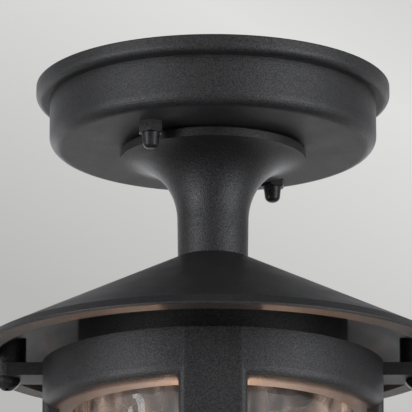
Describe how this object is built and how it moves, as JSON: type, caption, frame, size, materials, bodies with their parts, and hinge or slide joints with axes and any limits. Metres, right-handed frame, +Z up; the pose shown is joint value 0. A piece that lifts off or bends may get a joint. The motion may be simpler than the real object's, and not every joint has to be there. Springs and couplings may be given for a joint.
{
  "type": "porch ceiling lantern",
  "caption": "Flush ceiling lantern with a round canopy, a flared stem, a wide conical shade and a caged clear glass cylinder that hangs from arms under the shade.",
  "frame": {"origin": "in the plane of the ceiling, on the lantern's axis: the middle of the ceiling bar's top face, which is also the top of the canopy's lip", "axes": "+Z up along the lantern's axis, so the whole part lies below z = 0; -Y is the front as pictured; the shade's two cage arms lie on +X and -X"},
  "size_m": [0.1706, 0.1706, 0.2505],
  "materials": {
    "black_casting": "black powder coat with a fine sandy texture",
    "black_hardware": "glossy black",
    "zinc": "zinc plated",
    "brass": "plain brass",
    "foam": "soft black closed-cell foam",
    "black_rubber": "black silicone",
    "phenolic": "black moulded",
    "terminal_white": "white moulded",
    "wire_brown": "brown insulation",
    "wire_blue": "blue insulation",
    "wire_green": "green insulation",
    "bulb_metal": "bright",
    "bulb_clear": "clear",
    "filament": "lit",
    "lantern_glass": "clear, softly rippled"
  },
  "bodies": {
    "ceiling_bar": {"crossbar": "zinc", "crossbar_studs": "zinc", "stud_lock_nuts": "zinc", "earth_screw": "brass"},
    "fixture": {"ceiling_gasket": "foam", "canopy": "black_casting", "stem_gasket": "black_rubber", "stem": "black_casting", "stem_seal": "black_rubber", "threaded_tube": "zinc", "tube_nuts": "zinc", "tube_washers": "zinc", "earth_tag": "brass", "terminal_block": "terminal_white", "terminal_screws": "brass", "wire_live": "wire_brown", "wire_neutral": "wire_blue", "wire_earth": "wire_green", "shade": "black_casting", "lamp_housing": "black_casting", "housing_gasket": "black_rubber", "lampholder_cap": "phenolic", "lampholder_body": "phenolic", "lampholder_shell": "brass", "lampholder_contact": "brass"},
    "cap_nut_front": {"cap_nut_front": "black_hardware"},
    "cap_nut_back": {"cap_nut_back": "black_hardware"},
    "cage": {"cage": "black_casting", "seat_gasket": "black_rubber", "glass_jar": "lantern_glass"},
    "arm_screw_left": {"arm_screw_left": "black_hardware"},
    "arm_screw_right": {"arm_screw_right": "black_hardware"},
    "bulb_tip": {"bulb_contact": "bulb_metal"},
    "bulb": {"bulb_insulator": "phenolic", "bulb_cap": "bulb_metal", "bulb_glass": "bulb_clear", "bulb_mount": "bulb_clear", "bulb_filaments": "filament"}
  },
  "joints": [
    {"name": "canopy_drop", "type": "slide", "parent": "ceiling_bar", "child": "fixture", "axis": [0, 0, -1], "range_m": [0, 0.0064]},
    {"name": "front_nut_turn", "type": "hinge", "parent": "fixture", "child": "cap_nut_front", "pos_m": [-0.02177, -0.03498, -0.0276], "axis": [0, 0, -1], "range_deg": [0, 2890]},
    {"name": "back_nut_turn", "type": "hinge", "parent": "fixture", "child": "cap_nut_back", "pos_m": [0.02177, 0.03498, -0.0276], "axis": [0, 0, -1], "range_deg": [0, 2890]},
    {"name": "cage_drop", "type": "slide", "parent": "fixture", "child": "cage", "axis": [0, 0, -1], "range_m": [0, 0.0064]},
    {"name": "left_screw_turn", "type": "hinge", "parent": "cage", "child": "arm_screw_left", "pos_m": [-0.0726, 0, -0.108], "axis": [0, 0, -1], "range_deg": [0, 2890]},
    {"name": "right_screw_turn", "type": "hinge", "parent": "cage", "child": "arm_screw_right", "pos_m": [0.0726, 0, -0.108], "axis": [0, 0, -1], "range_deg": [0, 2890]},
    {"name": "bulb_travel", "type": "slide", "parent": "fixture", "child": "bulb_tip", "axis": [0, 0, -1], "range_m": [0, 0.0144]},
    {"name": "bulb_turn", "type": "hinge", "parent": "bulb_tip", "child": "bulb", "pos_m": [0, 0, -0.12], "axis": [0, 0, -1], "range_deg": [0, 1445]}
  ],
  "couplings": [
    {"joint": "front_nut_turn", "follows": "canopy_drop", "rad_per_m": 7854},
    {"joint": "back_nut_turn", "follows": "canopy_drop", "rad_per_m": 7854},
    {"joint": "left_screw_turn", "follows": "cage_drop", "rad_per_m": 7854},
    {"joint": "right_screw_turn", "follows": "cage_drop", "rad_per_m": 7854},
    {"joint": "bulb_turn", "follows": "bulb_travel", "rad_per_m": 1745.3}
  ]
}
